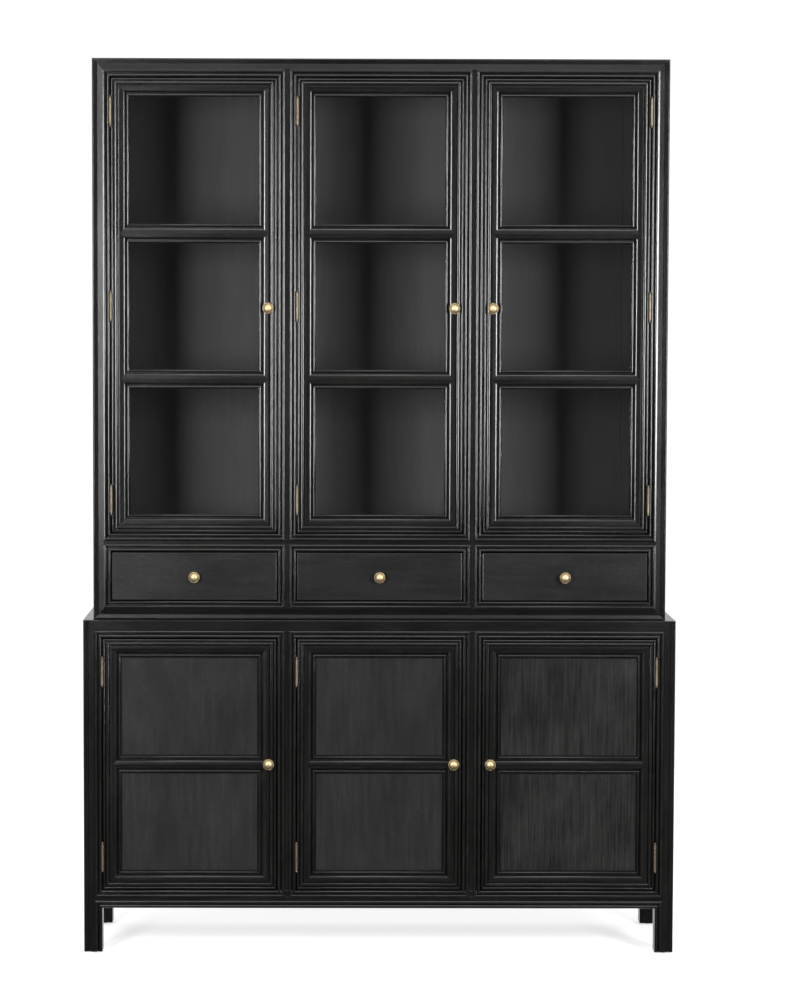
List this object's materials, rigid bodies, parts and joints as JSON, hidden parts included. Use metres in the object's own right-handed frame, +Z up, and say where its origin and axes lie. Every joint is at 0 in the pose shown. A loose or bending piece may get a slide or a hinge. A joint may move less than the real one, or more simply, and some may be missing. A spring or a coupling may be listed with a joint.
{
  "type": "display cabinet",
  "caption": "Black hand-rubbed display cabinet: glazed hinged doors over shallow drawers on a deeper legged cupboard base, framed by beaded mouldings, with round brass knobs.",
  "frame": {"origin": "on the floor, under the centre of the bounding box, the base's knobs included", "axes": "+Z up, +Y towards the back, -Y is the front with the doors, +X to the right of someone facing the front"},
  "size_m": [1.5, 0.447, 2.264],
  "materials": {
    "black_wood": "hand-rubbed satin black lacquer, worn along the mitres and edges",
    "dark_board": "matt dark stain",
    "drawer_wood": "clear matt, planed",
    "knob_brass": "satin, lightly aged",
    "hinge_brass": "antique, brown in the recesses",
    "glass": "clear, polished",
    "glide": "moulded"
  },
  "bodies": {
    "cabinet": {"base_front_legs": "black_wood", "base_rear_legs": "black_wood", "leg_glides": "glide", "base_front_rails": "black_wood", "base_mullions": "black_wood", "base_side_panels": "black_wood", "base_back_panel": "dark_board", "base_top_board": "black_wood", "base_bottom_board": "dark_board", "base_dividers": "dark_board", "base_shelves": "dark_board", "base_side_rails": "dark_board", "hutch_stiles": "black_wood", "hutch_mullions": "black_wood", "hutch_front_rails": "black_wood", "hutch_side_panels": "black_wood", "hutch_top_board": "black_wood", "hutch_bottom_board": "dark_board", "hutch_deck": "dark_board", "hutch_back_posts": "dark_board", "hutch_back_panel": "dark_board", "hutch_shelves": "dark_board", "drawer_dividers": "dark_board", "drawer_runners": "dark_board", "hinge_frame_leaves": "hinge_brass", "hinge_pins": "hinge_brass", "bullet_catches": "hinge_brass"},
    "hutch_door_left": {"hutch_door_left_frame": "black_wood", "hutch_door_left_glass": "glass", "hutch_door_left_knob": "knob_brass", "hutch_door_left_hinge_leaves": "hinge_brass"},
    "hutch_door_centre": {"hutch_door_centre_frame": "black_wood", "hutch_door_centre_glass": "glass", "hutch_door_centre_knob": "knob_brass", "hutch_door_centre_hinge_leaves": "hinge_brass"},
    "hutch_door_right": {"hutch_door_right_frame": "black_wood", "hutch_door_right_glass": "glass", "hutch_door_right_knob": "knob_brass", "hutch_door_right_hinge_leaves": "hinge_brass"},
    "base_door_left": {"base_door_left_frame": "black_wood", "base_door_left_panels": "black_wood", "base_door_left_knob": "knob_brass", "base_door_left_hinge_leaves": "hinge_brass"},
    "base_door_centre": {"base_door_centre_frame": "black_wood", "base_door_centre_panels": "black_wood", "base_door_centre_knob": "knob_brass", "base_door_centre_hinge_leaves": "hinge_brass"},
    "base_door_right": {"base_door_right_frame": "black_wood", "base_door_right_panels": "black_wood", "base_door_right_knob": "knob_brass", "base_door_right_hinge_leaves": "hinge_brass"},
    "drawer_left": {"drawer_left_front": "black_wood", "drawer_left_box": "drawer_wood", "drawer_left_knob": "knob_brass"},
    "drawer_centre": {"drawer_centre_front": "black_wood", "drawer_centre_box": "drawer_wood", "drawer_centre_knob": "knob_brass"},
    "drawer_right": {"drawer_right_front": "black_wood", "drawer_right_box": "drawer_wood", "drawer_right_knob": "knob_brass"}
  },
  "joints": [
    {"name": "hutch_door_left_hinge", "type": "hinge", "parent": "cabinet", "child": "hutch_door_left", "pos_m": [-0.679, -0.1795, 1.64375], "axis": [0, 0, -1], "range_deg": [0, 110]},
    {"name": "hutch_door_centre_hinge", "type": "hinge", "parent": "cabinet", "child": "hutch_door_centre", "pos_m": [-0.2095, -0.1795, 1.64375], "axis": [0, 0, -1], "range_deg": [0, 110]},
    {"name": "hutch_door_right_hinge", "type": "hinge", "parent": "cabinet", "child": "hutch_door_right", "pos_m": [0.679, -0.1795, 1.64375], "axis": [0, 0, 1], "range_deg": [0, 110]},
    {"name": "base_door_left_hinge", "type": "hinge", "parent": "cabinet", "child": "base_door_left", "pos_m": [-0.702, -0.1995, 0.48425], "axis": [0, 0, -1], "range_deg": [0, 110]},
    {"name": "base_door_centre_hinge", "type": "hinge", "parent": "cabinet", "child": "base_door_centre", "pos_m": [-0.2095, -0.1995, 0.48425], "axis": [0, 0, -1], "range_deg": [0, 110]},
    {"name": "base_door_right_hinge", "type": "hinge", "parent": "cabinet", "child": "base_door_right", "pos_m": [0.702, -0.1995, 0.48425], "axis": [0, 0, 1], "range_deg": [0, 110]},
    {"name": "drawer_left_slide", "type": "slide", "parent": "cabinet", "child": "drawer_left", "axis": [0, -1, 0], "range_m": [0, 0.29]},
    {"name": "drawer_centre_slide", "type": "slide", "parent": "cabinet", "child": "drawer_centre", "axis": [0, -1, 0], "range_m": [0, 0.29]},
    {"name": "drawer_right_slide", "type": "slide", "parent": "cabinet", "child": "drawer_right", "axis": [0, -1, 0], "range_m": [0, 0.29]}
  ]
}
